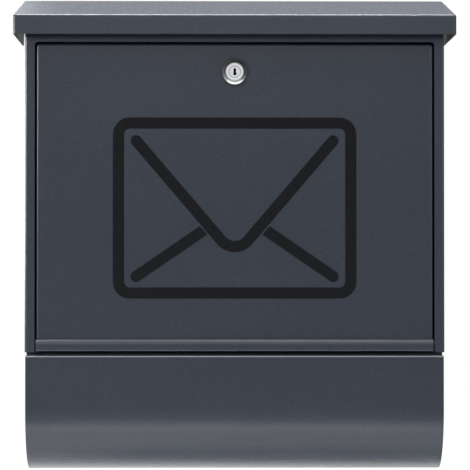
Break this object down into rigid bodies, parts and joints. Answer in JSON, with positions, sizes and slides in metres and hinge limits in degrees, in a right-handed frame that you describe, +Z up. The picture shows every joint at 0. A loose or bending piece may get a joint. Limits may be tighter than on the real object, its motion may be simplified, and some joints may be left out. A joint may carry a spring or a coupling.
{
  "type": "wall mounted mailbox",
  "caption": "Wall mounted mailbox of folded sheet steel: a hinged roof lid over the mail mouth, a lockable drop-down door with an envelope emblem, and an open newspaper trough below.",
  "frame": {"origin": "on the wall face, in the middle of the four wall holes", "axes": "+X to the right seen from the front, +Y into the wall, +Z up"},
  "size_m": [0.3822, 0.124, 0.4155],
  "materials": {
    "anthracite_steel": "fine textured satin powder coat",
    "black_film": "matt printed film",
    "chrome": "polished",
    "nickel_plug": "satin nickel plate",
    "brass": "plain stamped brass",
    "zinc_steel": "zinc plated",
    "black_oxide": "black oxide, oiled",
    "nylon": "black moulded nylon",
    "black_rubber": "matt"
  },
  "bodies": {
    "cabinet": {"side_panel_left": "anthracite_steel", "side_panel_right": "anthracite_steel", "back_panel": "anthracite_steel", "floor_tray": "anthracite_steel", "top_rail": "anthracite_steel", "lid_pivot_rivets": "zinc_steel", "lid_pivot_spacers": "nylon", "lid_buffers": "black_rubber", "door_buffers": "black_rubber", "door_hinge_pins": "black_oxide", "newspaper_holder": "anthracite_steel", "holder_screws": "zinc_steel", "holder_washers": "zinc_steel", "holder_nuts": "zinc_steel"},
    "lid": {"lid_panel": "anthracite_steel"},
    "door": {"door_panel": "anthracite_steel", "door_hinge_bushes": "nylon", "envelope_emblem": "black_film", "lock_housing": "chrome", "lock_seal": "black_rubber", "lock_washer": "zinc_steel", "lock_nut": "zinc_steel"},
    "lock_core": {"lock_plug": "nickel_plug", "lock_wafers": "brass", "lock_cam": "zinc_steel", "cam_washer": "zinc_steel", "cam_screw": "zinc_steel"}
  },
  "joints": [
    {"name": "lid_hinge", "type": "hinge", "parent": "cabinet", "child": "lid", "pos_m": [0, -0.014, 0.15424], "axis": [-1, 0, 0], "range_deg": [0, 75]},
    {"name": "door_hinge", "type": "hinge", "parent": "cabinet", "child": "door", "pos_m": [0, -0.1025, -0.14355], "axis": [1, 0, 0], "range_deg": [0, 90]},
    {"name": "lock_turn", "type": "hinge", "parent": "door", "child": "lock_core", "pos_m": [0, -0.1045, 0.0905], "axis": [0, -1, 0], "range_deg": [0, 90]}
  ]
}
